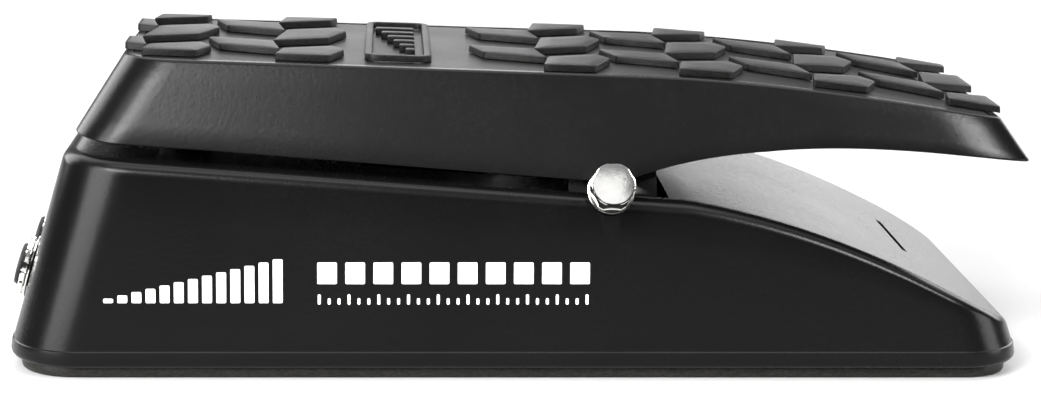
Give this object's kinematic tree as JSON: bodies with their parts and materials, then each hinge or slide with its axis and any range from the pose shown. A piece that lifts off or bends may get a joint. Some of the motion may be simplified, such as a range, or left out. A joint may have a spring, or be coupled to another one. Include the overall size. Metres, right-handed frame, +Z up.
{
  "type": "volume pedal",
  "caption": "Compact foot volume pedal: a rubber-treaded treadle rocks on a cast wedge-shaped housing and turns a potentiometer by a steel band; jacks at the toe end.",
  "frame": {"origin": "middle of the bottom mat on the floor, under the middle of the whole pedal", "axes": "+X to the heel end, -X to the toe end with the jacks, +Y to the user's right side, +Z up"},
  "size_m": [0.2112, 0.1034, 0.0658],
  "materials": {
    "paint": "satin black textured powder coat",
    "block_paint": "matt black",
    "rubber": "matt black rubber",
    "bumper_rubber": "matt black rubber",
    "chrome": "polished chrome plate",
    "steel": "zinc plated",
    "spring_steel": "bright rolled strip",
    "bronze": "oil-filled sintered bronze",
    "aluminium": "machined",
    "black_plastic": "moulded black plastic",
    "white_plastic": "moulded white plastic",
    "board": "green solder mask"
  },
  "bodies": {
    "base": {"base_housing": "paint", "pivot_block_left": "block_paint", "pivot_block_right": "block_paint", "bottom_mat": "rubber", "toe_bumper_left": "bumper_rubber", "toe_bumper_right": "bumper_rubber", "pivot_bolt_left": "chrome", "pivot_bolt_right": "chrome", "base_plate": "steel", "base_plate_screw_1": "steel", "base_plate_screw_2": "steel", "base_plate_screw_3": "steel", "base_plate_screw_4": "steel", "pivot_axle": "steel", "pivot_block_screw_left": "steel", "pivot_block_screw_right": "steel", "pot_bracket": "steel", "pot_nut": "steel", "mode_switch_body": "steel", "potentiometer": "aluminium", "output_jack": "black_plastic", "aux_jack": "black_plastic", "input_jack": "black_plastic", "trimmer_body": "black_plastic", "output_jack_washer": "chrome", "output_jack_nut": "chrome", "aux_jack_washer": "chrome", "aux_jack_nut": "chrome", "input_jack_washer": "chrome", "input_jack_nut": "chrome", "circuit_board": "board"},
    "treadle": {"treadle": "paint", "tread_mat": "rubber", "pivot_bushing_left": "bronze", "pivot_bushing_right": "bronze", "heel_bumper_left": "bumper_rubber", "heel_bumper_right": "bumper_rubber", "drive_sector": "aluminium", "drive_band": "spring_steel", "sector_screw_1": "steel", "sector_screw_2": "steel"},
    "drum": {"drive_drum": "aluminium", "band_loop": "spring_steel", "pot_shaft": "steel"},
    "slider": {"mode_switch_slider": "black_plastic"},
    "dial": {"trimmer_dial": "white_plastic"}
  },
  "joints": [
    {"name": "treadle_rock", "type": "hinge", "parent": "base", "child": "treadle", "pos_m": [0.0188, 0, 0.0387], "axis": [0, 1, 0], "range_deg": [0, 20]},
    {"name": "drum_turn", "type": "hinge", "parent": "base", "child": "drum", "pos_m": [-0.01222, 0, 0.01267], "axis": [0, 1, 0], "range_deg": [-211.4, 0]},
    {"name": "mode_slide", "type": "slide", "parent": "base", "child": "slider", "axis": [0, 1, 0], "range_m": [0, 0.002]},
    {"name": "trim_turn", "type": "hinge", "parent": "base", "child": "dial", "pos_m": [-0.08343, -0.013, 0.02826], "axis": [0.2756, 0, 0.9613], "range_deg": [-130, 130]}
  ],
  "couplings": [
    {"joint": "drum_turn", "follows": "treadle_rock", "ratio": -10.565}
  ]
}
